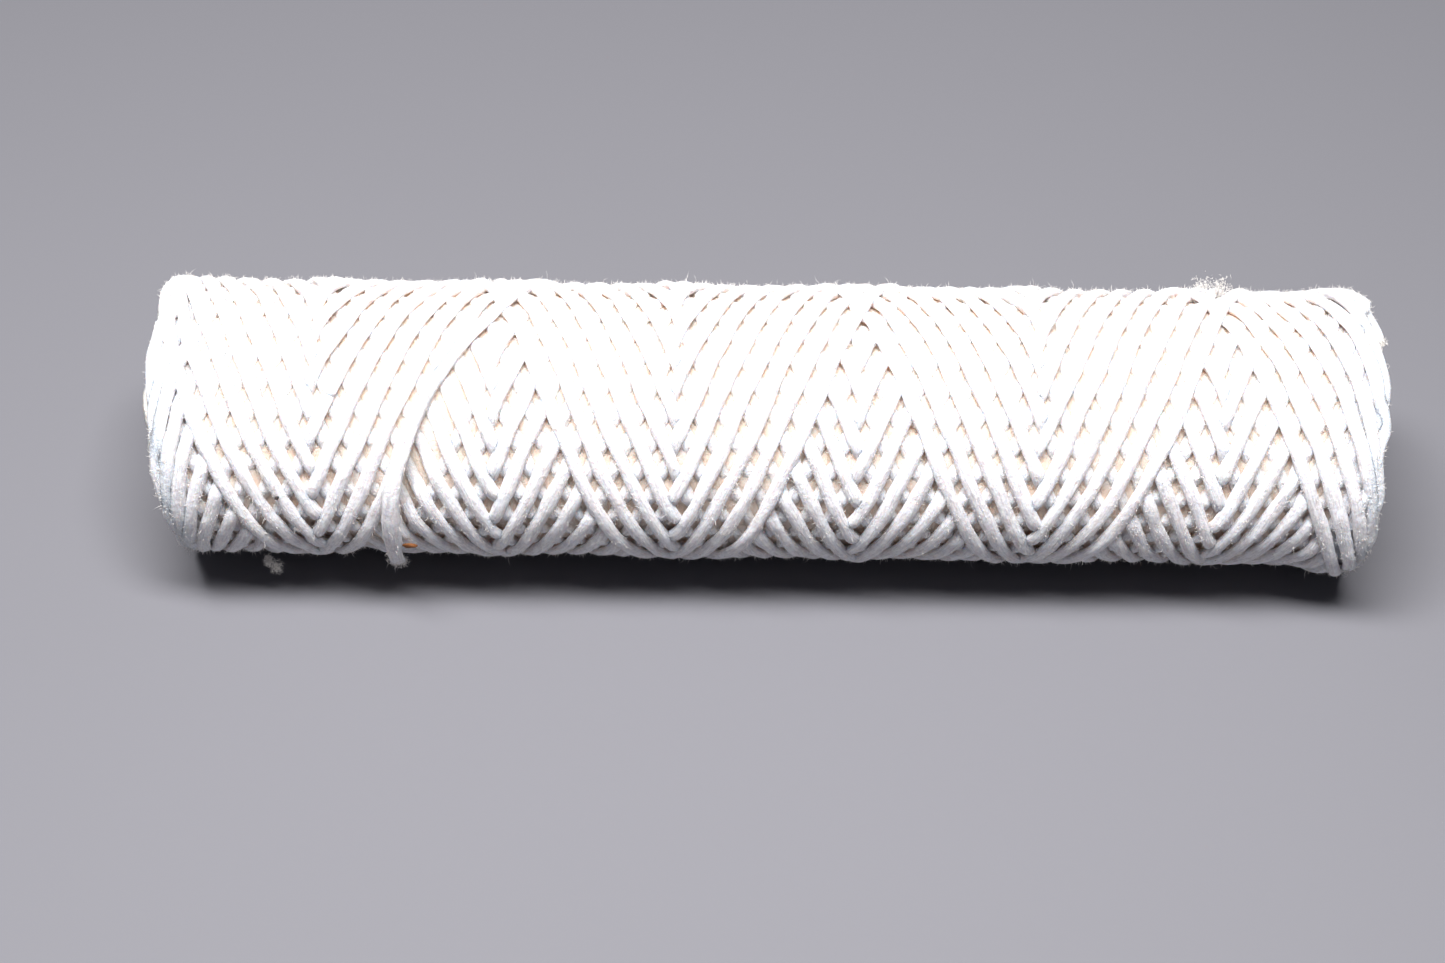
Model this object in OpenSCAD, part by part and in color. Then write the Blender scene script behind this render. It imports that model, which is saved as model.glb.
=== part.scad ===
// String-wound filter cartridge: a perforated metal core, a thin cover around it, and one long
// cotton strand wound over both in four lays. The axis runs along X, and the origin is the middle
// of the bore. The strand's free end lies on the outside of the last lay.

/* [Cartridge] */
// Length of the core and of the winding on it
length = 250; // [200:1:510]
// Diameter over the winding
winding_od = 57.6; // [52:0.2:64]
// Radius that rounds the outer edge of the winding at each end
edge_round = 3; // [1:0.1:3.2]

/* [Core] */
// Inside diameter of the perforated core
core_id = 28; // [27:0.1:30]
// Sheet thickness of the core
core_wall = 0.6; // [0.3:0.1:1]
// Diameter of each hole in the core
hole_d = 5; // [3:0.1:6]
// Number of holes in each ring around the core
holes_around = 8; // [6:1:10]
// Distance along the core from one ring of holes to the next
ring_pitch = 10; // [8:0.1:14]
// Least length of plain tube left at each end of the core
collar = 6; // [4:0.5:15]

/* [Cover] */
// Thickness of the cover between the core and the winding
cover_t = 0.6; // [0.3:0.1:1]
// Gap left between one layer and the next
layer_gap = 0.05; // [0.02:0.01:0.2]

/* [Strand] */
// Diameter of the strand's free end
strand_d = 3; // [2:0.1:4]

/* [Hidden] */
$fn = 96;

core_r = core_id / 2;
core_outer_r = core_r + core_wall;
cover_r = core_outer_r + layer_gap;
cover_outer_r = cover_r + cover_t;
winding_r = winding_od / 2;
lays = 4;
lay_t = (winding_r - cover_outer_r) / lays;

// An even number of rings keeps plain metal at mid-length.
rings = 2 * floor((length / 2 - collar - hole_d / 2 + ring_pitch / 2) / ring_pitch);
hole_step = 360 / holes_around;
// How far a drill starts inside the wall at the edges of its hole, and how far it ends outside.
drill_overlap = 1;
drill_start = core_r - hole_d * hole_d / core_r / 4 - drill_overlap;
drill_len = core_outer_r + drill_overlap - drill_start;

// Free end: [distance along X, angle from the top towards the front, radius] of each point.
tail_route = [
    [-72.0, 58, 29.7], [-73.4, 66, 30.3], [-74.4, 74, 30.6], [-75.0, 82, 30.7],
    [-75.3, 90, 30.7], [-75.5, 98, 30.7], [-75.6, 106, 30.7], [-75.8, 114, 30.7],
    [-75.9, 122, 30.8], [-76.0, 130, 31.0], [-76.0, 138, 31.3]
];
tail_sides = 8;
tail_points = [for (p = tail_route) [p[0], -p[2] * sin(p[1]), p[2] * cos(p[1])]];

function unit(v) = v / norm(v);

// Direction of a route at point i, from its neighbours.
function heading(route, i) =
    let (last = len(route) - 1)
    unit(route[min(i + 1, last)] - route[max(i - 1, 0)]);

// One ring of points around the route at point i, turning about the heading.
function ring(route, i, r, sides) =
    let (
        along = heading(route, i),
        across = unit(cross(along, [1, 0, 0])),
        up = cross(across, along)
    )
    [for (k = [0 : sides - 1]) route[i] + r * (cos(360 * k / sides) * across + sin(360 * k / sides) * up)];

module tube(r_in, r_out, len) {
    rotate([0, 90, 0])
        difference() {
            cylinder(r = r_out, h = len, center = true);
            cylinder(r = r_in, h = len + 2, center = true);
        }
}

// A closed tube of the given radius along a route.
module swept_tube(route, r, sides) {
    count = len(route);
    last = (count - 1) * sides;
    points = [for (i = [0 : count - 1]) each ring(route, i, r, sides)];
    sides_faces = [
        for (i = [0 : count - 2], k = [0 : sides - 1])
            let (a = i * sides + k, b = i * sides + (k + 1) % sides)
            [a, b, b + sides, a + sides]
    ];
    first_cap = [for (k = [0 : sides - 1]) sides - 1 - k];
    last_cap = [for (k = [0 : sides - 1]) last + k];
    polyhedron(points = points, faces = concat([first_cap], sides_faces, [last_cap]));
}

// The drills of one ring of holes, each through one wall of the core.
module hole_ring(x, turn) {
    for (k = [0 : holes_around - 1])
        translate([x, 0, 0])
            rotate([turn + k * hole_step, 0, 0])
                translate([0, 0, drill_start]) cylinder(d = hole_d, h = drill_len, $fn = 32);
}

// Each ring of holes is turned half a step from the ones beside it.
module core_tube() {
    color("silver")
        difference() {
            tube(core_r, core_outer_r, length);
            for (i = [0 : rings - 1])
                hole_ring((i - (rings - 1) / 2) * ring_pitch, (i % 2) * hole_step / 2);
        }
}

module core_cover() {
    color("whitesmoke") tube(cover_r, cover_outer_r, length);
}

// One lay of the winding, counted from the core.
module winding_lay(n) {
    r_in = cover_outer_r + (n - 1) * lay_t + layer_gap;
    color("ivory") tube(r_in, cover_outer_r + n * lay_t, length);
}

// The last lay, with its outer edges rounded.
module outer_lay() {
    r_in = cover_outer_r + (lays - 1) * lay_t + layer_gap;
    corner = [winding_r - edge_round, length / 2 - edge_round];
    color("ivory")
        rotate([0, 90, 0])
            rotate_extrude()
                difference() {
                    translate([r_in, -length / 2]) square([winding_r - r_in, length]);
                    for (side = [0, 1])
                        mirror([0, side])
                            difference() {
                                translate(corner) square(edge_round + 1);
                                translate(corner) circle(r = edge_round);
                            }
                }
}

module yarn_tail() {
    color("ivory") swept_tube(tail_points, strand_d / 2, tail_sides);
}

core_tube();
core_cover();
winding_lay(1);  // winding_lay_1
winding_lay(2);  // winding_lay_2
winding_lay(3);  // winding_lay_3
outer_lay();  // winding_lay_4
yarn_tail();
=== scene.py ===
"""A string-wound filter cartridge lying on a pale floor.

One soft cotton strand is wound back and forth over a perforated core. The winding is worked out here
turn by turn, as a winding machine lays it: each stroke comes to rest on what is already there.
"""

import math

import bmesh
import bpy
import numpy as np
from mathutils import Matrix, Vector, noise


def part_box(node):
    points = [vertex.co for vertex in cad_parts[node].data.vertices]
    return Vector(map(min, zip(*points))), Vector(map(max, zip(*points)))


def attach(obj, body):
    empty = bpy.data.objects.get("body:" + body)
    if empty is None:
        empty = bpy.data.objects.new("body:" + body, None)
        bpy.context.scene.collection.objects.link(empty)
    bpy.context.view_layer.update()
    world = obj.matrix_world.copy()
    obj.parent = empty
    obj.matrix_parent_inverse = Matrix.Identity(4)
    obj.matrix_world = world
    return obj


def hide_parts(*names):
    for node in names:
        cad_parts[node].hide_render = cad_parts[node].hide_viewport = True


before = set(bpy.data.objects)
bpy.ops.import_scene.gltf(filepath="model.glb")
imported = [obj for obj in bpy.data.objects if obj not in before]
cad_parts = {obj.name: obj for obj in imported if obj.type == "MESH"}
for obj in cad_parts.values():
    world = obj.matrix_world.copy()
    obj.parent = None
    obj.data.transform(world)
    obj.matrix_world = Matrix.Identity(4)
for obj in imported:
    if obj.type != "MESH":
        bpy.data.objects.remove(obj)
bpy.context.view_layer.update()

MM = 0.001

# ---------------------------------------------------------------- sizes from the frame

HALF_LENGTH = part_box("winding_lay_4")[1][0]
WINDING_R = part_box("winding_lay_4")[1][2]
COVER_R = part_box("core_cover")[1][2]
CORE_OUTER_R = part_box("core_tube")[1][2]
LAYS = 4
LAY_T = (WINDING_R - COVER_R) / LAYS
FLOOR_Z = -(WINDING_R + 1.6 * MM)  # under the swollen ends of the winding

# ---------------------------------------------------------------- the camera

VIEW_ELEVATION = math.radians(45)
VIEW_ROLL = math.radians(0.74)
VIEW_DISTANCE = 558 * MM
VIEW_ASIDE = -8.8 * MM  # the camera stands a little left of the middle of the core,
VIEW_BELOW = 12.6 * MM  # and this far below it, across the line of sight
LENS = 66.4
SENSOR = 36


def make_camera():
    data = bpy.data.cameras.new("camera")
    data.lens = LENS
    data.sensor_width = SENSOR
    data.clip_start = 0.01
    camera = bpy.data.objects.new("camera", data)
    bpy.context.scene.collection.objects.link(camera)
    turn = Matrix.Rotation(math.pi / 2 - VIEW_ELEVATION, 4, "X") @ Matrix.Rotation(VIEW_ROLL, 4, "Z")
    camera.matrix_world = turn @ Matrix.Translation((VIEW_ASIDE, -VIEW_BELOW, VIEW_DISTANCE))
    bpy.context.scene.camera = camera


make_camera()

# ---------------------------------------------------------------- smooth rows of numbers


def smooth_noise(count, spacing, seed):
    """Values of about -1 to 1 that change smoothly, one for each sample, spacing samples apart."""
    knots = np.random.default_rng(seed).uniform(-1, 1, int(count / spacing) + 4)
    t = np.arange(count) / spacing
    i = t.astype(int)
    f = t - i
    f = f * f * (3 - 2 * f)
    return knots[i] * (1 - f) + knots[i + 1] * f


def blur(values, sigma):
    """A Gaussian blur of a row of values, sigma in samples."""
    reach = max(1, int(3 * sigma))
    k = np.exp(-0.5 * (np.arange(-reach, reach + 1) / sigma) ** 2)
    return np.convolve(np.pad(values, reach, mode="edge"), k / k.sum(), mode="valid")


def rolling_max(values, reach):
    """The largest value within reach samples each way."""
    padded = np.pad(values, reach, mode="edge")
    return np.max([padded[i : i + len(values)] for i in range(2 * reach + 1)], axis=0)


def smooth_step(t):
    t = np.clip(t, 0, 1)
    return t * t * (3 - 2 * t)


def unit_rows(v):
    return v / np.linalg.norm(v, axis=-1, keepdims=True)


def lengths(points):
    """Length of each step along a path."""
    return np.linalg.norm(np.diff(points, axis=0), axis=1)


def on_cylinder(x, angle, radius):
    """A point on the winding. The angle runs from the top towards the front."""
    return np.stack(np.broadcast_arrays(x, -radius * np.sin(angle), radius * np.cos(angle)), axis=-1)


# ---------------------------------------------------------------- the winding machine

LEAD = 72.8 * MM  # how far the strand moves along the core in one turn
STROKES = 15  # double strokes in one lay, and strands side by side in the lattice
TURNS = 7 + 1 / STROKES  # turns of the core in one double stroke
# Each lay is turned by this from the next, so that its strands cross under the next lay's holes.
HALF_DIAMOND = math.pi / STROKES
LAST_ANGLE = math.radians(170)  # where the last reversal at the right end lies
END_GAP = 1.0 * MM  # least distance from the strand's centre to the end of the core
END_SOFT = 4.2 * MM  # how gently the strand turns back at the ends
STRAND_W = (3.9 * MM, 3.8 * MM, 3.6 * MM, 2.85 * MM)  # width in each lay: the inner lays are pressed flat
SPREAD = 0.06  # how much wider the last lay's strand is near its crossings, as a share
PRESSED_T = LAY_T / 2  # thickness of the strand where others press it
LOOSE_T = 1.95 * MM  # and where nothing lies on it
BULGE = 0.8 * MM  # how much thicker it swells in the short gaps between crossing strands
WANDER = ((14 * MM, 0.24 * MM), (5 * MM, 0.11 * MM))  # how it strays from its ideal path: spacing and size
SLACK = (-1.0, 0.5)  # how far each turning point strays outwards, in mm: least and most
SLACK_REACH = 12 * MM  # and how far from the end that is felt
SLIP = 3 * MM  # how far the strands at the left end have slipped inwards at the lower front
SLIP_REACH = 11 * MM
SLIP_SIDE = (130, 75)  # middle and reach of that place around the core, in degrees from the top
WANDER_SEED, SLACK_SEED, UNEVEN_SEED = 100, 500, 900
FINE = 0.35 * MM  # distance between samples of the path while it is wound
CELL = 0.4 * MM  # length of a cell of the unrolled surface
CELLS_ROUND = 400  # cells around it

# Near its ends the winding swells where the strand turns back: height, distance from the end and reach.
SWELL = (0.6 * MM, 7 * MM, 4 * MM)
SAG = (1.7 * MM, 8 * MM, 6 * MM)  # the same, where the right end sags
SAG_SIDE = (138, 60)
# Its edges are rounded: how much is missing at the edge, how far in, and how steeply it ends.
ROUNDING = (3.0 * MM, 4.5 * MM, 2)
WEAR = (2.6 * MM, 15 * MM, 1.3)  # the same, where the left end is worn
WEAR_SIDE = (130, 80)

# The strand's free end lies on the winding: distance along X, angle from the top and radius of each point.
TAIL_ROUTE = (
    (-72.0, 58, 29.7), (-73.4, 66, 30.3), (-74.4, 74, 30.6), (-75.0, 82, 30.7),
    (-75.3, 90, 30.7), (-75.5, 98, 30.7), (-75.6, 106, 30.7), (-75.8, 114, 30.7),
    (-75.9, 122, 30.8), (-76.0, 130, 31.0), (-76.0, 138, 31.3),
)
TAIL_D = 3 * MM
TAIL_X = TAIL_ROUTE[0][0] * MM
TAIL_START = math.radians(TAIL_ROUTE[0][1])
TAIL_RISE = 12 * MM  # over this length the last strand rises to the free end
# Where the last stroke leaves the winding.
LAST_TURN = (TAIL_START + 6 * math.pi - LAST_ANGLE) / (2 * math.pi)
PULL_FROM = LAST_TURN - 0.2  # from here it is pulled aside
PULL_TO = LAST_TURN - 0.04


def guide_x(turns):
    """Place of the strand along the core. Turn 0 is the last reversal at the right end."""
    swing = TURNS * LEAD / 4
    x = swing * (np.abs((turns / TURNS) % 1.0 - 0.5) * 4 - 1)
    half = HALF_LENGTH - END_GAP
    return np.sign(x) * (half - END_SOFT * np.log1p(np.exp((half - np.abs(x)) / END_SOFT)))


def facing(angle, centre, reach):
    """1 on the side at an angle of centre degrees, falling to 0 at reach degrees from it."""
    away = np.abs((np.degrees(angle) - centre + 180) % 360 - 180)
    return smooth_step(1 - away / reach)


def hump(d, height, place, reach):
    """A soft rise, highest at a distance d of place from the end."""
    return height * np.exp(-(((d - place) / reach) ** 2))


def missing(d, size, reach, power):
    """What is missing at a distance d from the end: size at the end itself, nothing from reach on."""
    return size * np.clip(1 - d / reach, 0, 1) ** power


def cap_radius(lay, x, angle):
    """The largest radius that a lay reaches: swollen near the ends, and round at the edges.

    The right end sags most at the lower front, and the left end is worn away there.
    """
    top = COVER_R + (lay + 1) * LAY_T
    from_end = HALF_LENGTH - np.abs(x)
    swell = hump(from_end, *SWELL)
    swell += hump(from_end, *SAG) * facing(angle, *SAG_SIDE) * (x > 0)
    drop = missing(from_end, *ROUNDING)
    drop += missing(from_end, *WEAR) * facing(angle, *WEAR_SIDE) * (x < 0)
    return top + (swell - drop) * (lay + 1) / LAYS


class Surface:
    """The height of the winding over its unrolled surface."""

    def __init__(self, radius):
        self.rows = int(2 * HALF_LENGTH / CELL) + 2
        self.height = np.full((self.rows, CELLS_ROUND), float(radius))

    def cells(self, x, angle):
        i = np.clip(((x + HALF_LENGTH) / CELL).astype(int), 0, self.rows - 1)
        return i, (angle / (2 * math.pi) * CELLS_ROUND).astype(int) % CELLS_ROUND

    def at(self, x, angle):
        return self.height[self.cells(x, angle)]

    def raise_to(self, x, angle, height):
        np.maximum.at(self.height, self.cells(x, angle), height)


def stroke_path(lay, number):
    """Angle and x of one stroke, a little off its ideal path."""
    first = (lay - LAYS) * STROKES * TURNS + (number + 1) * TURNS / 2
    last = first + TURNS / 2
    shift = HALF_DIAMOND * ((LAYS - 1 - lay) % 2)
    is_last = lay == LAYS - 1 and number == 2 * STROKES - 1
    if is_last:
        last = LAST_TURN
    radius = COVER_R + (lay + 0.5) * LAY_T
    count = int((last - first) * 2 * math.pi * radius / FINE)
    turns = np.linspace(first, last, count, endpoint=False)
    seed = lay * 2 * STROKES + number
    x = guide_x(turns)
    for k, (spacing, size) in enumerate(WANDER):
        x += size * smooth_noise(count, spacing / FINE, WANDER_SEED + seed + 1000 * k)
    slack = np.random.default_rng(SLACK_SEED + (seed + 1) // 2).uniform(*SLACK) * MM
    x += np.sign(x) * smooth_step(1 - (HALF_LENGTH - np.abs(x)) / SLACK_REACH) * slack
    if is_last:
        x += (TAIL_X - x[-1]) * smooth_step((turns - PULL_FROM) / (PULL_TO - PULL_FROM))
    angle = LAST_ANGLE + 2 * math.pi * turns + shift
    x += SLIP * facing(angle, *SLIP_SIDE) * np.exp(-((HALF_LENGTH + x) / SLIP_REACH) ** 2)
    return angle, x, seed


def across(x, angle, radius):
    """Direction across the strand, as steps in x and in angle for each metre."""
    dx, da = np.gradient(x), np.gradient(angle) * radius
    size = np.hypot(dx, da)
    return da / size, -dx / size / radius


FELT = (-1, -0.5, 0, 0.5, 1)  # where the strand meets what lies below, in mm from its middle
SINK = 0.4  # how far it settles from the highest of these towards their mean, as a share
BRIDGE = 1.4 * MM  # how far to each side of a crossing the strand stays up
EASE = 1.3 * MM  # and over what length it comes down
UNEVEN = 0.15 * MM  # how much the top of a lay rises and falls
UNEVEN_SPACING = 12 * MM
STEPS_ACROSS = 11


def wind_stroke(surface, lay, angle, x, seed):
    """Lays one stroke on the surface, and returns the radius of the strand's underside."""
    step_x, step_angle = across(x, angle, COVER_R + (lay + 0.5) * LAY_T)
    under = np.array([surface.at(x + w * MM * step_x, angle + w * MM * step_angle) for w in FELT])
    rest = (1 - SINK) * under.max(0) + SINK * under.mean(0)
    rest = blur(rolling_max(rest, int(BRIDGE / FINE)), EASE / FINE)
    uneven = UNEVEN * smooth_noise(len(x), UNEVEN_SPACING / FINE, UNEVEN_SEED + seed)
    rest = np.minimum(rest, cap_radius(lay, x, angle) - PRESSED_T + uneven)
    for w in np.linspace(-0.5, 0.5, STEPS_ACROSS):
        profile = PRESSED_T * (0.25 + 0.75 * math.sqrt(1 - (w / 0.55) ** 2))
        aside = w * STRAND_W[lay]
        surface.raise_to(x + aside * step_x, angle + aside * step_angle, rest + profile)
    return rest


def wind_lay(surface, lay):
    """One lay: the strand's angle, x and underside radius, in the order it was wound."""
    strokes = []
    for number in range(2 * STROKES):
        angle, x, seed = stroke_path(lay, number)
        strokes.append(np.stack([angle, x, wind_stroke(surface, lay, angle, x, seed)]))
    angle, x, rest = np.concatenate(strokes, axis=1)
    x, rest = blur(x, 1.0 * MM / FINE), blur(rest, 0.8 * MM / FINE)
    if lay == LAYS - 1:
        rise = smooth_step(1 - np.arange(len(x))[::-1] * FINE / TAIL_RISE)
        rest += rise * (TAIL_ROUTE[0][2] * MM - LOOSE_T / 2 - rest)
    return angle, x, rest


LEAST_COVERED = (0.7, 0.7, 0.3, 0)  # how much each lay is pressed even in its gaps, as a share
TOUCH = 0.35 * MM  # what lies over the strand starts to press it when it stands this high,
TOUCH_FULL = 0.9 * MM  # and presses it fully when it stands this much higher
PRESS_EASE = 0.7 * MM  # length over which a pressed part changes into a loose one
NEAR = 3 * MM  # how far from a crossing the strand still swells


def thickness(surface, lay, angle, x, rest):
    """How thick the strand is, how much it is covered, and how many times wider it is than usual."""
    over = surface.at(x, angle) - rest - PRESSED_T
    covered = blur(np.clip((over - TOUCH) / TOUCH_FULL, 0, 1), PRESS_EASE / FINE)
    covered = np.maximum(covered, LEAST_COVERED[lay])
    between = smooth_step(blur(covered, NEAR / FINE) / 0.6)
    height = PRESSED_T * covered + (LOOSE_T + BULGE * between) * (1 - covered)
    return height, covered, 1 + (SPREAD if lay == LAYS - 1 else 0) * between


# ---------------------------------------------------------------- meshes

# Fibre bundles in the strand: how many around it, their twist's length, and how far they stand out.
BUNDLES = ((2, 23 * MM, 0.06), (3, 17 * MM, 0.05), (5, 29 * MM, 0.035))
SLUBS = ((9 * MM, 0.07), (3.2 * MM, 0.07))  # how its thickness varies along it: spacing and share
LUMPS = (2.1 * MM, 0.05)  # the same for each side of it alone
DRIFT = 1.3  # how far a bundle strays around the strand, in radians
FIBRE_R = 1.5 * MM  # the strand's radius in the material's own space


def relief(s, phi, seed):
    """How fibre bundles swell and shrink the strand's outline, as a share of its radius."""
    spacing = np.median(np.diff(s[:, 0]))
    lift = np.zeros((len(s), phi.shape[1]))
    for k, (count, twist, size) in enumerate(BUNDLES):
        drift = DRIFT * smooth_noise(len(s), twist / 2 / spacing, seed + k)[:, None]
        lift += size * np.sin(count * phi + 2 * math.pi * s / twist + drift)
    for k, (length, size) in enumerate(SLUBS):
        lift += size * smooth_noise(len(s), length / spacing, seed + 7 + k)[:, None]
    for k in range(phi.shape[1]):
        lift[:, k] += LUMPS[1] * smooth_noise(len(s), LUMPS[0] / spacing, seed + 20 + k)
    return lift


def new_piece(name, verts, faces):
    mesh = bpy.data.meshes.new(name)
    mesh.from_pydata(verts, [], faces)
    mesh.polygons.foreach_set("use_smooth", np.ones(len(mesh.polygons), dtype=bool))
    piece = bpy.data.objects.new(name, mesh)
    bpy.context.scene.collection.objects.link(piece)
    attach(piece, "root")
    return piece


def wall_faces(rings, sides):
    """Quads between each ring of points and the next."""
    i, k = np.meshgrid(np.arange(rings - 1), np.arange(sides), indexing="ij")
    a, b = i * sides + k, i * sides + (k + 1) % sides
    return np.stack([a, b, b + sides, a + sides], axis=-1).reshape(-1, 4)


def tube_faces(rings, sides):
    """Quads and end caps of a tube."""
    ring = np.arange(sides)
    return wall_faces(rings, sides).tolist() + [ring[::-1].tolist(), (ring + (rings - 1) * sides).tolist()]


def shell(name, outer, inner):
    """A closed sleeve between two walls, each given as rows of rings."""
    rings, sides = outer.shape[:2]
    out = wall_faces(rings, sides)
    a, b = out[:sides, 0], out[:sides, 1]
    inside = rings * sides
    rim = np.stack([b, a, a + inside, b + inside], axis=-1)
    far_rim = rim[:, ::-1] + (rings - 1) * sides
    faces = np.concatenate([out, out[:, ::-1] + inside, rim, far_rim])
    return new_piece(name, np.concatenate([outer, inner]).reshape(-1, 3), faces.tolist())


def set_fibre(piece, values):
    """Stores, at each point, where it lies in its strand: the first number runs along the fibres."""
    layer = piece.data.attributes.new("fibre", "FLOAT_VECTOR", "POINT")
    layer.data.foreach_set("vector", values.reshape(-1).astype(np.float32))


def sweep(name, centre, out, half_w, half_t, sides, seed):
    """Sweeps a soft oval section along centre. out points away from the core at each ring."""
    along = unit_rows(np.gradient(centre, axis=0))
    out = unit_rows(out - (out * along).sum(1, keepdims=True) * along)
    aside = np.cross(along, out)
    s = np.concatenate([[0], np.cumsum(lengths(centre))])[:, None]
    phi = np.arange(sides)[None, :] * (2 * math.pi / sides)
    grow = 1 + relief(s, phi, seed)
    u = (half_w[:, None] * np.cos(phi) * grow)[..., None]
    v = (half_t[:, None] * np.sin(phi) * grow)[..., None]
    points = centre[:, None, :] + u * aside[:, None, :] + v * out[:, None, :]
    piece = new_piece(name, points.reshape(-1, 3), tube_faces(len(centre), sides))
    set_fibre(piece, np.stack(np.broadcast_arrays(s, FIBRE_R * np.cos(phi), FIBRE_R * np.sin(phi)), axis=-1))
    return piece


# ---------------------------------------------------------------- materials


def new_material(name):
    material = bpy.data.materials.new(name)
    material.use_nodes = True
    tree = material.node_tree
    return material, tree, tree.nodes["Principled BSDF"]


def add_node(tree, kind, **values):
    """A node with its sockets and properties set by name."""
    node = tree.nodes.new(kind)
    for key, value in values.items():
        if key in node.inputs:
            node.inputs[key].default_value = value
        else:
            setattr(node, key, value)
    return node


def set_inputs(node, values):
    for key, value in values.items():
        node.inputs[key].default_value = value


def object_place(tree):
    return add_node(tree, "ShaderNodeTexCoord").outputs["Object"]


def stretched(tree, place, share):
    """Places squeezed along X, so that a texture read there is drawn out along X."""
    node = add_node(tree, "ShaderNodeMapping", Scale=(share, 1, 1))
    tree.links.new(place, node.inputs["Vector"])
    return node.outputs["Vector"]


def add_noise(tree, place, **values):
    node = add_node(tree, "ShaderNodeTexNoise", **values)
    tree.links.new(place, node.inputs["Vector"])
    return node.outputs["Fac"]


def two_tones(tree, factor, low, high, start=0, end=1):
    """A colour that changes from low to high while the factor rises from start to end."""
    node = add_node(tree, "ShaderNodeValToRGB")
    for element, position, colour in zip(node.color_ramp.elements, (start, end), (low, high)):
        element.position = position
        element.color = (*colour, 1)
    tree.links.new(factor, node.inputs["Fac"])
    return node.outputs["Color"]


def multiply_add(tree, value, share, base):
    node = add_node(tree, "ShaderNodeMath", operation="MULTIPLY_ADD")
    tree.links.new(value, node.inputs[0])
    node.inputs[1].default_value = share
    tree.links.new(base, node.inputs[2])
    return node.outputs[0]


def add_bump(tree, shader, height, strength, distance):
    bump = add_node(tree, "ShaderNodeBump", Strength=strength, Distance=distance)
    tree.links.new(height, bump.inputs["Height"])
    tree.links.new(bump.outputs["Normal"], shader.inputs["Normal"])


# Depth below the top of the winding at which the inner tint, a painted warm shade, is full, and at which it
# starts.
INNER_FULL = 0.72 * LAY_T
INNER_START = 0.38 * LAY_T


def outer_share(tree, place):
    """0 deep in the winding, where the warm shade is painted, and 1 near its top."""
    flat = add_node(tree, "ShaderNodeVectorMath", operation="MULTIPLY")
    flat.inputs[1].default_value = (0, 1, 1)
    tree.links.new(place, flat.inputs[0])
    radius = add_node(tree, "ShaderNodeVectorMath", operation="LENGTH")
    tree.links.new(flat.outputs["Vector"], radius.inputs[0])
    share = add_node(tree, "ShaderNodeMapRange", interpolation_type="SMOOTHSTEP")
    set_inputs(share, {"From Min": WINDING_R - INNER_FULL, "From Max": WINDING_R - INNER_START})
    tree.links.new(radius.outputs["Value"], share.inputs["Value"])
    return share.outputs["Result"]


def cotton_material(name, light, deep, inner):
    """Soft brushed cotton: streaks of fibre along the strand, fine mottling of painted shade between the
    fibres, and a painted warm shade deep inside the winding.
    """
    material, tree, shader = new_material(name)
    fibre = add_node(tree, "ShaderNodeAttribute", attribute_name="fibre")
    along = stretched(tree, fibre.outputs["Vector"], 0.12)
    streaks = add_noise(tree, along, Scale=2600, Detail=3, Roughness=0.6)
    place = object_place(tree)
    # Mottling painted as shade between the fibres, mixed with the streaks.
    mottle = add_noise(tree, place, Scale=850, Detail=4, Roughness=0.7)
    blend = add_node(tree, "ShaderNodeMix", data_type="FLOAT")
    blend.inputs[0].default_value = 0.45
    tree.links.new(streaks, blend.inputs[2])
    tree.links.new(mottle, blend.inputs[3])
    # Painted warm shade: deeper in the winding the colour turns to the inner tan.
    depth_shaded = add_node(tree, "ShaderNodeMix", data_type="RGBA", blend_type="MIX")
    tree.links.new(outer_share(tree, place), depth_shaded.inputs[0])
    depth_shaded.inputs[6].default_value = (*inner, 1)
    tree.links.new(two_tones(tree, blend.outputs[0], deep, light, 0.40, 0.58), depth_shaded.inputs[7])
    tree.links.new(depth_shaded.outputs[2], shader.inputs["Base Color"])
    fuzz = add_noise(tree, place, Scale=3200, Detail=2, Roughness=0.7)
    clumps = add_noise(tree, place, Scale=1000, Detail=3, Roughness=0.65)
    heights = multiply_add(tree, clumps, 1.2, multiply_add(tree, fuzz, 0.6, streaks))
    add_bump(tree, shader, heights, 0.8, 0.5 * MM)
    set_inputs(shader, {
        "Roughness": 0.95,
        "Specular IOR Level": 0.15,
        "Sheen Weight": 0.25,
        "Sheen Roughness": 0.6,
        "Subsurface Weight": 0.8,
        "Subsurface Radius": (1.0, 0.75, 0.6),
        "Subsurface Scale": 2.4 * MM,
    })
    return material


def tin_material():
    """Tin plate: bright, with faint rolling lines along the tube and dull patches."""
    material, tree, shader = new_material("tin_plate")
    place = object_place(tree)
    lines = add_noise(tree, stretched(tree, place, 0.03), Scale=1400, Detail=3)
    dull = add_noise(tree, place, Scale=160, Detail=3)
    colour = two_tones(tree, dull, (0.50, 0.49, 0.46), (0.72, 0.71, 0.68))
    tree.links.new(colour, shader.inputs["Base Color"])
    rough = add_node(tree, "ShaderNodeMapRange")
    set_inputs(rough, {"To Min": 0.22, "To Max": 0.48})
    tree.links.new(dull, rough.inputs["Value"])
    tree.links.new(rough.outputs["Result"], shader.inputs["Roughness"])
    add_bump(tree, shader, lines, 0.25, 0.05 * MM)
    shader.inputs["Metallic"].default_value = 1.0
    return material


def plain_material(name, low, high, scale, detail=3, roughness=0.85, specular=0.5):
    """A matt surface with a faint change of tone."""
    material, tree, shader = new_material(name)
    tone = add_noise(tree, object_place(tree), Scale=scale, Detail=detail)
    tree.links.new(two_tones(tree, tone, low, high), shader.inputs["Base Color"])
    set_inputs(shader, {"Roughness": roughness, "Specular IOR Level": specular})
    return material


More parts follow.
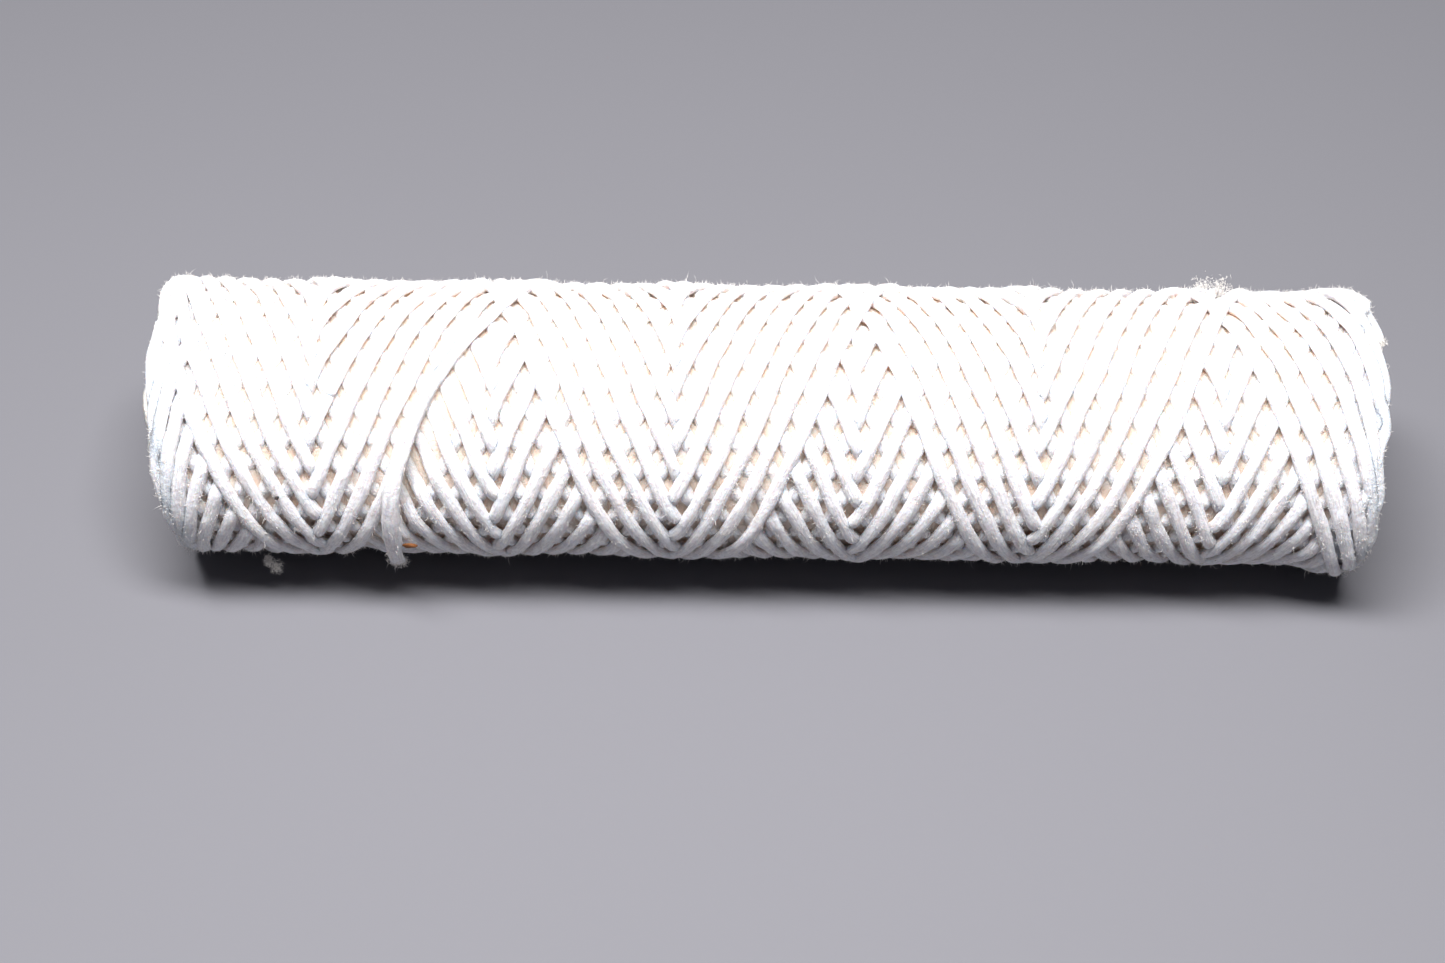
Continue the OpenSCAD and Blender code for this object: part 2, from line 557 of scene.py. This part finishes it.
OFF_WHITE = (0.915, 0.895, 0.905)
SHADED = (0.66, 0.64, 0.67)  # painted shade between the fibres
# The third colour of each is the painted warm shade deep in the winding and at the bottom of the holes.
COTTON = cotton_material("cotton", OFF_WHITE, SHADED, (0.90, 0.80, 0.72))
MAT_COTTON = cotton_material("mat_cotton", OFF_WHITE, SHADED, (0.88, 0.68, 0.56))
LINT = plain_material(
    "lint", (0.84, 0.80, 0.74), (0.95, 0.93, 0.90), 60, detail=1, roughness=0.9, specular=0.1
)
TIN = tin_material()
CLOTH = plain_material("cover_cloth", (0.68, 0.64, 0.58), (0.84, 0.81, 0.76), 900)
HUSK = plain_material("husk", (0.12, 0.04, 0.012), (0.32, 0.12, 0.03), 1500)
SEED = plain_material("seed", (0.012, 0.010, 0.009), (0.05, 0.035, 0.03), 1500)
FLOOR = plain_material("floor", (0.150, 0.150, 0.164), (0.159, 0.159, 0.174), 3)

# ---------------------------------------------------------------- the winding

# For each lay: samples from one ring of points to the next, points in a ring, and pieces.
LAY_MESH = ((8, 6, 1), (8, 6, 1), (6, 8, 1), (3, 14, 3))


def fade_in(s):
    """How the last strand and the free end taper where each goes on inside the other."""
    return 0.3 + 0.7 * smooth_step(s / (2.5 * MM))


def build_lay(lay, angle, x, rest, height, spread):
    """The strand of one lay, in one or more pieces."""
    every, sides, parts = LAY_MESH[lay]
    width = STRAND_W[lay] * spread
    if lay == LAYS - 1:
        fade = fade_in(np.arange(len(x))[::-1] * FINE)
        width, height = width * fade, height * fade
    centre = on_cylinder(x, angle, rest + height / 2)
    out = on_cylinder(np.zeros_like(x), angle, np.ones_like(x))
    picked = np.arange(0, len(x), every)
    cuts = np.linspace(0, len(picked) - 1, parts + 1).astype(int)
    for part in range(parts):
        rows = picked[cuts[part] : cuts[part + 1] + 1]
        letter = "abc"[part] if parts > 1 else ""
        half_w, half_t = width[rows] / 2, height[rows] / 2
        seed = 1000 * lay + 10 * part
        piece = sweep(f"strand_lay_{lay + 1}{letter}", centre[rows], out[rows], half_w, half_t, sides, seed)
        piece.data.materials.append(COTTON)
        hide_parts(f"winding_lay_{lay + 1}")


MAT_DEPTH = 2.35 * MM  # from the top of the winding to the matted fibres at the bottom of each hole
MAT_T = 1.2 * MM
MAT_MARGIN = 3.5 * MM  # from its edge to the end of the core
MAT_GRID = (170, 144)  # rings along it, and points in a ring
MAT_LUMPS = 0.45 * MM  # how uneven it is
MAT_SEED = 41


def build_mat():
    """Fibres that have matted together between the last two lays, and close the bottom of each hole."""
    along = np.linspace(-1, 1, MAT_GRID[0]) * (HALF_LENGTH - MAT_MARGIN)
    around = np.linspace(0, 2 * math.pi, MAT_GRID[1], endpoint=False)
    x, phi = np.meshgrid(along, around, indexing="ij")
    lumps = np.random.default_rng(MAT_SEED).normal(size=MAT_GRID)
    lumps = np.apply_along_axis(blur, 0, np.apply_along_axis(blur, 1, lumps, 1.0), 0.8)
    radius = cap_radius(LAYS - 1, x, phi) - MAT_DEPTH + MAT_LUMPS * lumps
    mat = shell("fibre_mat", on_cylinder(x, phi, radius), on_cylinder(x, phi, radius - MAT_T))
    # Its colour is mostly the painted warm shade, since it lies deep in the winding.
    mat.data.materials.append(MAT_COTTON)
    fibre = np.stack(np.broadcast_arrays(WINDING_R * phi, x, 0), axis=-1)
    set_fibre(mat, np.concatenate([fibre, fibre]))
    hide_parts("winding_lay_4")


build_mat()

surface = Surface(COVER_R)
for lay in range(LAYS):
    angle, x, rest = wind_lay(surface, lay)
    height, covered, spread = thickness(surface, lay, angle, x, rest)
    build_lay(lay, angle, x, rest, height, spread)
OUTER = (angle, x, rest, height, covered)

# ---------------------------------------------------------------- loose fibres


def hair_axes(roots, tips):
    """Two directions across each hair."""
    along = unit_rows(tips - roots)
    helper = np.where(np.abs(along[:, :1]) < 0.8, [[1.0, 0, 0]], [[0, 1.0, 0]])
    u = unit_rows(np.cross(along, helper))
    return u, np.cross(along, u)


def triangle(place, thick, axes):
    """Three corners around each place on a hair."""
    corners = []
    for k in range(3):
        turn = 2 * math.pi * k / 3
        corners.append(place + thick[:, None] * (math.cos(turn) * axes[0] + math.sin(turn) * axes[1]))
    return corners


def hair_piece(name, points, sides):
    """All hairs as one piece, from the points of each and the sides between them."""
    verts = np.stack(points, axis=1).reshape(-1, 3)
    base = np.arange(len(points[0]))[:, None] * len(points)
    faces = [row for corners in sides for row in (base + np.array(corners)).tolist()]
    piece = new_piece(name, verts, faces)
    piece.data.materials.append(LINT)
    return piece


def hair_mesh(name, roots, middles, tips, thick):
    """Fine hairs, each a three-sided spike bent at its middle."""
    axes = hair_axes(roots, tips)
    points = triangle(roots, thick, axes) + triangle(middles, thick * 0.75, axes) + [tips]
    sides = [(k, (k + 1) % 3, 3 + (k + 1) % 3, 3 + k) for k in range(3)]
    sides += [(3 + k, 3 + (k + 1) % 3, 6) for k in range(3)] + [(2, 1, 0)]
    return hair_piece(name, points, sides)


def spike_mesh(name, roots, tips, thick):
    """The shortest hairs, each a straight three-sided spike."""
    points = triangle(roots, thick, hair_axes(roots, tips)) + [tips]
    return hair_piece(name, points, [(0, 1, 3), (1, 2, 3), (2, 0, 3), (2, 1, 0)])


# ---------------------------------------------------------------- the free end


def spline(points, count):
    """A Catmull-Rom curve through points."""
    p = np.vstack([2 * points[0] - points[1], points, 2 * points[-1] - points[-2]])
    t = np.linspace(0, len(points) - 1 - 1e-9, count)
    i = t.astype(int)
    f = (t - i)[:, None]
    a, b, c, d = p[i], p[i + 1], p[i + 2], p[i + 3]
    return 0.5 * (2 * b + (c - a) * f + (2 * a - 5 * b + 4 * c - d) * f**2 + (3 * b - a - 3 * c + d) * f**3)


TAIL_RINGS = 90
TAIL_SIDES = 16
TAIL_SEED = 4100


def build_tail():
    """The free end: it carries on from the last strand, widens and flattens, and ends in loose wisps."""
    angle, x, rest, height, _ = OUTER
    last = slice(-15, -1, 3)
    lead_in = on_cylinder(x[last], angle[last], (rest + height / 2)[last])
    route = np.array(TAIL_ROUTE)
    points = on_cylinder(route[1:, 0] * MM, np.radians(route[1:, 1]), route[1:, 2] * MM)
    centre = spline(np.vstack([lead_in, points]), TAIL_RINGS)
    out = centre * (0, 1, 1)
    t = np.linspace(0, 1, len(centre))
    taper = smooth_step((t - 0.88) / 0.12)
    half_w = 1.5 * MM + 0.2 * MM * smooth_step((t - 0.1) / 0.4) - 0.7 * MM * taper
    half_t = 1.2 * MM - 0.35 * MM * smooth_step((t - 0.3) / 0.4) - 0.35 * MM * taper
    fade = fade_in(np.concatenate([[0], np.cumsum(lengths(centre))]))
    sunk = (TAIL_D / 2 - half_t) * smooth_step((t - 0.15) / 0.3)
    pressed = centre - sunk[:, None] * unit_rows(out)
    tail = sweep("strand_tail", pressed, out, half_w * fade, half_t * fade, TAIL_SIDES, TAIL_SEED)
    tail.data.materials.append(COTTON)
    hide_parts("yarn_tail")
    wisps = build_wisps(pressed)


WISPS = 900
WISPS_AT_TIP = 0.6  # the share of them that grow from the frayed end
WISP_SEED = 61


def build_wisps(centre):
    """Loose fibres that fan out from the frayed end, and some along the tail."""
    rng = np.random.default_rng(WISP_SEED)
    count = WISPS
    at_tip = rng.uniform(size=count) < WISPS_AT_TIP
    place = np.where(at_tip, rng.uniform(0.86, 1, count), rng.uniform(0.1, 1, count))
    i = np.clip((place * (len(centre) - 1)).astype(int), 1, len(centre) - 2)
    along = unit_rows(centre[i + 1] - centre[i - 1])
    spread = rng.normal(size=(count, 3))
    root = centre[i] + 0.75 * MM * spread * (1.0, 0.6, 0.6)
    size = rng.uniform(0.8, 2.6, (count, 1)) * MM
    middle = root + size * 0.5 * unit_rows(along + 0.45 * rng.normal(size=(count, 3)))
    tip = middle + size * 0.5 * unit_rows(along + 0.8 * rng.normal(size=(count, 3)))
    wisps = hair_mesh("tail_wisps", root, middle, tip, 0.05 * MM * rng.uniform(0.6, 1.5, count))
    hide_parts("yarn_tail")
    return wisps


build_tail()

# ---------------------------------------------------------------- lint on the winding

MOST_COVERED = 0.75  # hairs show only where less of the strand than this is covered
HAIR_PLACE = 0.46  # how far from the strand's middle they start, as a share of its width or height
HAIR_GAP = 0.1 * MM  # least height of a tip above the floor
BARE = 20  # samples without hairs at each end of the strand
LOOK = 8  # samples to each side that the strand's direction is taken from


def strand_hairs(count, seed):
    """Places and directions of hairs on the outside of the last lay, where nothing covers the strand."""
    rng = np.random.default_rng(seed)
    angle, x, rest, height, covered = OUTER
    pick = rng.integers(BARE, len(x) - BARE, count)
    pick = pick[covered[pick] < MOST_COVERED]
    centre = on_cylinder(x, angle, rest + height / 2)
    along = unit_rows(centre[pick + LOOK] - centre[pick - LOOK])
    out = on_cylinder(np.zeros(len(pick)), angle[pick], np.ones(len(pick)))
    aside = np.cross(along, out)
    phi = rng.uniform(-0.05, 1.05, len(pick)) * math.pi
    side, up = np.cos(phi)[:, None], np.sin(phi)[:, None]
    root = centre[pick] + HAIR_PLACE * STRAND_W[-1] * side * aside
    root += HAIR_PLACE * height[pick][:, None] * up * out
    normal = unit_rows(side * aside + up * out)
    return root, normal, along, rng


def build_fuzz(name, count, length, lift, thick, seed):
    """Hairs that stand off the strand by lift times their length, and mostly follow it."""
    root, normal, along, rng = strand_hairs(count, seed)
    n = len(root)
    size = length * rng.uniform(0.4, 1.3, (n, 1))
    sway = rng.normal(size=(n, 3))
    lean = along * rng.choice([-1, 1], (n, 1)) * rng.uniform(0.3, 1.0, (n, 1)) + 0.5 * sway
    first = unit_rows(lean + normal * lift * 2)
    bend = normal * lift * rng.uniform(-0.6, 1.6, (n, 1))
    second = unit_rows(lean + bend + 0.6 * rng.normal(size=(n, 3)))
    middle = root + 0.5 * size * first
    tip = middle + 0.5 * size * second
    keep = np.minimum(middle[:, 2], tip[:, 2]) > FLOOR_Z + HAIR_GAP
    keep &= np.abs(tip[:, 0]) < HALF_LENGTH + 3 * MM
    thick = thick * rng.uniform(0.6, 1.2, n)
    return hair_mesh(name, root[keep], middle[keep], tip[keep], thick[keep])


def build_nap(name, count, length, thick, seed):
    """The nap of the cotton: the shortest hairs, which stand off the strand in all directions."""
    root, normal, along, rng = strand_hairs(count, seed)
    n = len(root)
    lean = normal * rng.uniform(0.1, 1.0, (n, 1)) + along * rng.normal(size=(n, 1))
    way = unit_rows(lean + 0.35 * rng.normal(size=(n, 3)))
    tip = root + length * rng.uniform(0.4, 1.3, (n, 1)) * way
    keep = tip[:, 2] > FLOOR_Z + HAIR_GAP
    keep &= np.abs(tip[:, 0]) < HALF_LENGTH + 1.5 * MM
    thick = thick * rng.uniform(0.6, 1.3, n)
    return spike_mesh(name, root[keep], tip[keep], thick[keep])


# Loose tufts caught on the winding: place along X, angle from the top, distance from the axis, width, how
# far the tuft is drawn out away from the core (the sign only mirrors it), and number of hairs. Sizes in mm.
TUFTS = (
    (-103.1, 131, 30.4, 0.8, 0.7, 300),
    (-101.7, 135, 31.7, 1.1, -0.4, 240),
    (89.5, -27, 29.5, 2.0, -1.5, 300),
    (93.5, -29, 29.3, 1.8, -1.4, 240),
    (-121.5, -10, 28.7, 1.0, -0.4, 160),
    (123.6, 8, 28.0, 0.7, -0.1, 120),
)
TUFT_HAIR = 0.9 * MM  # length of a hair in a tuft
TUFT_THICK = 0.055 * MM
TUFT_SEED = 71


def build_tufts():
    """Clouds of short bent hairs."""
    rng = np.random.default_rng(TUFT_SEED)
    roots, middles, tips = [], [], []
    for x, degrees, radius, wide, drawn, count in TUFTS:
        angle = math.radians(degrees)
        centre = on_cylinder(x * MM, angle, radius * MM)
        out = on_cylinder(0, angle, 1)
        cloud = 0.5 * MM * rng.normal(size=(count, 3)) * wide
        root = centre + cloud + drawn * 0.5 * MM * rng.normal(size=(count, 1)) * out
        size = TUFT_HAIR * rng.uniform(0.5, 1.3, (count, 1))
        first = unit_rows(rng.normal(size=(count, 3)))
        second = unit_rows(first + 0.9 * rng.normal(size=(count, 3)))
        roots.append(root)
        middles.append(root + 0.5 * size * first)
        tips.append(middles[-1] + 0.5 * size * second)
    root, middle, tip = [np.concatenate(rows) for rows in (roots, middles, tips)]
    thick = TUFT_THICK * rng.uniform(0.6, 1.3, len(root))
    hair_mesh("lint_tufts", root, middle, tip, thick)


LUMPY = 0.5  # how far a fleck is from an egg's shape
LUMP_SCALE = 1.4


def build_fleck(name, place, half_size, turn, material, seed):
    """A bit of the cotton plant caught in the strand.

    Its place is given along X in mm, around in degrees and from the axis in mm, its half size in mm.
    """
    x, degrees, radius = place
    angle = math.radians(degrees)
    ball = bmesh.new()
    bmesh.ops.create_icosphere(ball, subdivisions=3, radius=1)
    shift = Vector((seed, 0, 0))
    points = []
    for vert in ball.verts:
        points.append(vert.co * (1 + LUMPY * noise.noise(vert.co * LUMP_SCALE + shift)))
    faces = [[vert.index for vert in face.verts] for face in ball.faces]
    ball.free()
    around = np.array([0, -math.cos(angle), -math.sin(angle)])
    long_way = math.cos(turn) * np.array([1.0, 0, 0]) + math.sin(turn) * around
    out = on_cylinder(0, angle, 1)
    ways = np.stack([long_way, np.cross(out, long_way), out])
    verts = on_cylinder(x * MM, angle, radius * MM) + (np.array(points) * np.array(half_size) * MM) @ ways
    fleck = new_piece(name, verts, faces)
    fleck.data.materials.append(material)


build_nap("nap_a", count=50000, length=0.9 * MM, thick=0.065 * MM, seed=54)
build_nap("nap_b", count=50000, length=0.9 * MM, thick=0.065 * MM, seed=55)
build_fuzz("lint_short", count=9000, length=1.3 * MM, lift=0.45, thick=0.05 * MM, seed=51)
build_fuzz("lint_long", count=2500, length=2.2 * MM, lift=0.6, thick=0.04 * MM, seed=52)
build_tufts()
build_fleck("husk_fleck", (-72.3, 108, 29.9), (1.6, 0.8, 0.4), turn=0.15, material=HUSK, seed=3.1)
build_fleck("seed_speck", (-98.1, 81.5, 28.9), (0.45, 0.4, 0.35), turn=0, material=SEED, seed=5.7)

# ---------------------------------------------------------------- the core

COVER_MARGIN = 0.6 * MM  # from its mean edge to the end of the core
COVER_GAP = 0.1 * MM  # from the core to the cover
RAGGED = 0.35 * MM  # how uneven its edges are
COVER_GRID = (60, 120)  # rings along it, and points in a ring
COVER_SEED = 31


def build_cover():
    """The thin cover around the core: cloth with uneven edges."""
    phi = np.linspace(0, 2 * math.pi, COVER_GRID[1], endpoint=False)
    along = np.linspace(-1, 1, COVER_GRID[0])[:, None] * (HALF_LENGTH - COVER_MARGIN)
    ragged = RAGGED * np.random.default_rng(COVER_SEED).uniform(-1, 1, len(phi))
    x = along + ragged * (np.abs(along) > HALF_LENGTH - 1 * MM)
    outer = on_cylinder(x, phi, COVER_R)
    inner = on_cylinder(x, phi, CORE_OUTER_R + COVER_GAP)
    cover = shell("core_cover_cloth", outer, inner)
    cover.data.materials.append(CLOTH)
    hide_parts("core_cover")


build_cover()

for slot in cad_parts["core_tube"].material_slots:
    slot.material = TIN

# ---------------------------------------------------------------- floor and light

FLOOR_HALF = 6.0


def build_floor():
    mesh = bpy.data.meshes.new("floor")
    corners = [(FLOOR_HALF * x, FLOOR_HALF * y, FLOOR_Z) for x, y in ((-1, -1), (1, -1), (1, 1), (-1, 1))]
    mesh.from_pydata(corners, [], [(0, 1, 2, 3)])
    floor = bpy.data.objects.new("floor", mesh)
    bpy.context.scene.collection.objects.link(floor)
    mesh.materials.append(FLOOR)


def area_light(name, place, size, power, colour):
    """A rectangular light that faces the middle of the core."""
    data = bpy.data.lights.new(name, "AREA")
    data.shape = "RECTANGLE"
    data.size, data.size_y = size
    data.energy = power
    data.color = colour
    light = bpy.data.objects.new(name, data)
    bpy.context.scene.collection.objects.link(light)
    light.location = place
    light.rotation_mode = "QUATERNION"
    light.rotation_quaternion = (-Vector(place)).to_track_quat("-Z", "Y")


def build_world():
    world = bpy.data.worlds.new("world")
    world.use_nodes = True
    sky = world.node_tree.nodes["Background"]
    sky.inputs["Color"].default_value = (0.80, 0.84, 1.0, 1)
    sky.inputs["Strength"].default_value = 0.06
    scene = bpy.context.scene
    scene.world = world
    scene.view_settings.view_transform = "Standard"
    scene.cycles.diffuse_bounces = 8


build_floor()
build_world()
area_light("overhead", place=(-0.05, -0.18, 0.80), size=(0.6, 0.2), power=19.5, colour=(1.0, 0.985, 0.995))
